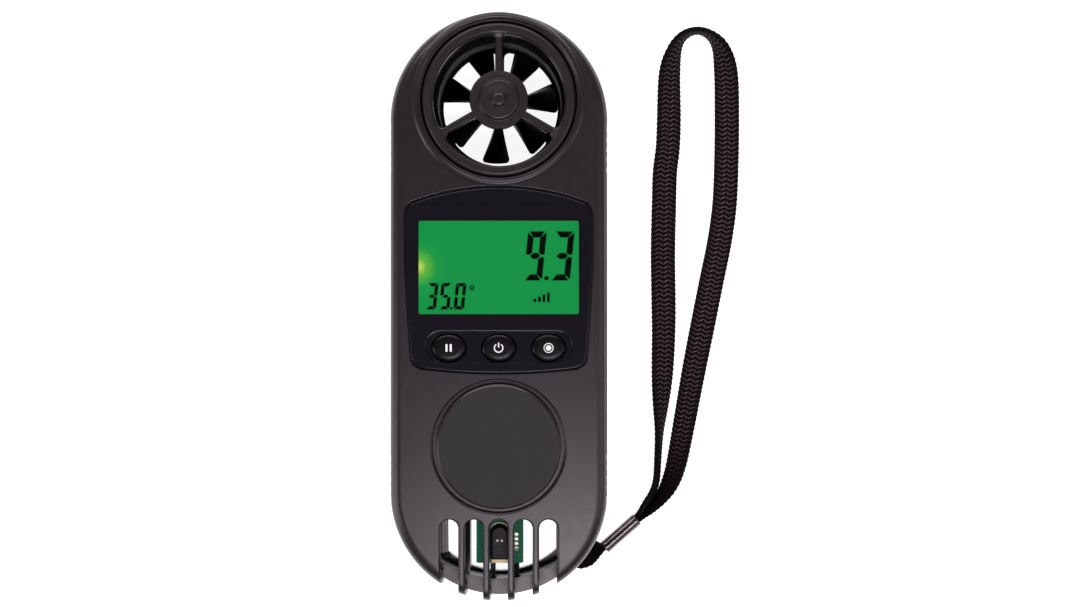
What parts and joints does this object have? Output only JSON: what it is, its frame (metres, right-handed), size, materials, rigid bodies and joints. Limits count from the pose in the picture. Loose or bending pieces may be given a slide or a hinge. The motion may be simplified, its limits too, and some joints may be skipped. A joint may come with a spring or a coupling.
{
  "type": "handheld weather meter",
  "caption": "Pocket weather meter: rounded case with a spinning vane in a guarded duct, lit display, keypad, sensor grille and wrist strap.",
  "frame": {"origin": "middle of the flat back face of the case", "axes": "+Z out of the display, +Y towards the vane, +X to the right of the display"},
  "size_m": [0.0707, 0.1199, 0.02],
  "materials": {
    "shell_plastic": "fine satin grain",
    "guard_plastic": "satin",
    "blade_plastic": "gloss",
    "steel": "bright",
    "bronze": "satin",
    "magnet": "satin",
    "chip_black": "satin",
    "window_gloss": "gloss",
    "gloss_black": "gloss",
    "lit_display": "lit from behind",
    "diffuser": "milky",
    "amber_led": "gloss",
    "dark_rubber": "matte",
    "green_board": "satin lacquer",
    "button_rubber": "satin",
    "label_grey": "matte",
    "grey_wire": "matte",
    "sensor_bead": "gloss",
    "spring_brass": "bright",
    "strap_weave": "flat braid"
  },
  "bodies": {
    "case": {"front_shell": "shell_plastic", "rear_shell": "shell_plastic", "vane_guard": "guard_plastic", "vane_duct": "guard_plastic", "front_bearing": "bronze", "rear_bearing": "bronze", "vane_pickup": "chip_black", "window_panel": "window_gloss", "lcd_frame": "gloss_black", "lcd_glass": "lit_display", "backlight_diffuser": "diffuser", "backlight_led": "amber_led", "zebra_strip": "dark_rubber", "main_pcb": "green_board", "microcontroller": "chip_black", "crystal": "steel", "keypad_membrane": "dark_rubber", "hold_dome": "steel", "power_dome": "steel", "record_dome": "steel", "label_disc": "label_grey", "sensor_pcb": "green_board", "humidity_sensor": "chip_black", "thermistor_lead_left": "grey_wire", "thermistor_lead_right": "grey_wire", "thermistor_bead": "sensor_bead", "sensor_ribbon": "grey_wire", "coin_cell": "steel", "negative_contact": "spring_brass", "positive_contact": "spring_brass", "case_screw_1": "steel", "case_screw_2": "steel", "case_screw_3": "steel", "case_screw_4": "steel", "strap_loop": "strap_weave", "strap_ferrule": "steel", "strap_tail": "strap_weave"},
    "impeller": {"impeller": "blade_plastic", "impeller_shaft": "steel", "rotor_magnet": "magnet"},
    "hold_button": {"hold_button": "button_rubber"},
    "power_button": {"power_button": "button_rubber"},
    "record_button": {"record_button": "button_rubber"},
    "battery_cover": {"battery_cover": "shell_plastic"}
  },
  "joints": [
    {"name": "impeller_spin", "type": "hinge", "parent": "case", "child": "impeller", "pos_m": [0, 0.0411, 0.0078], "axis": [0, 0, 1], "continuous": true},
    {"name": "hold_button_press", "type": "slide", "parent": "case", "child": "hold_button", "axis": [0, 0, -1], "range_m": [0, 0.0004], "stiffness_N_per_m": 1500},
    {"name": "power_button_press", "type": "slide", "parent": "case", "child": "power_button", "axis": [0, 0, -1], "range_m": [0, 0.0004], "stiffness_N_per_m": 1500},
    {"name": "record_button_press", "type": "slide", "parent": "case", "child": "record_button", "axis": [0, 0, -1], "range_m": [0, 0.0004], "stiffness_N_per_m": 1500},
    {"name": "battery_cover_turn", "type": "hinge", "parent": "case", "child": "battery_cover", "pos_m": [0, -0.0278, 0], "axis": [0, 0, 1], "range_deg": [0, 40]}
  ]
}
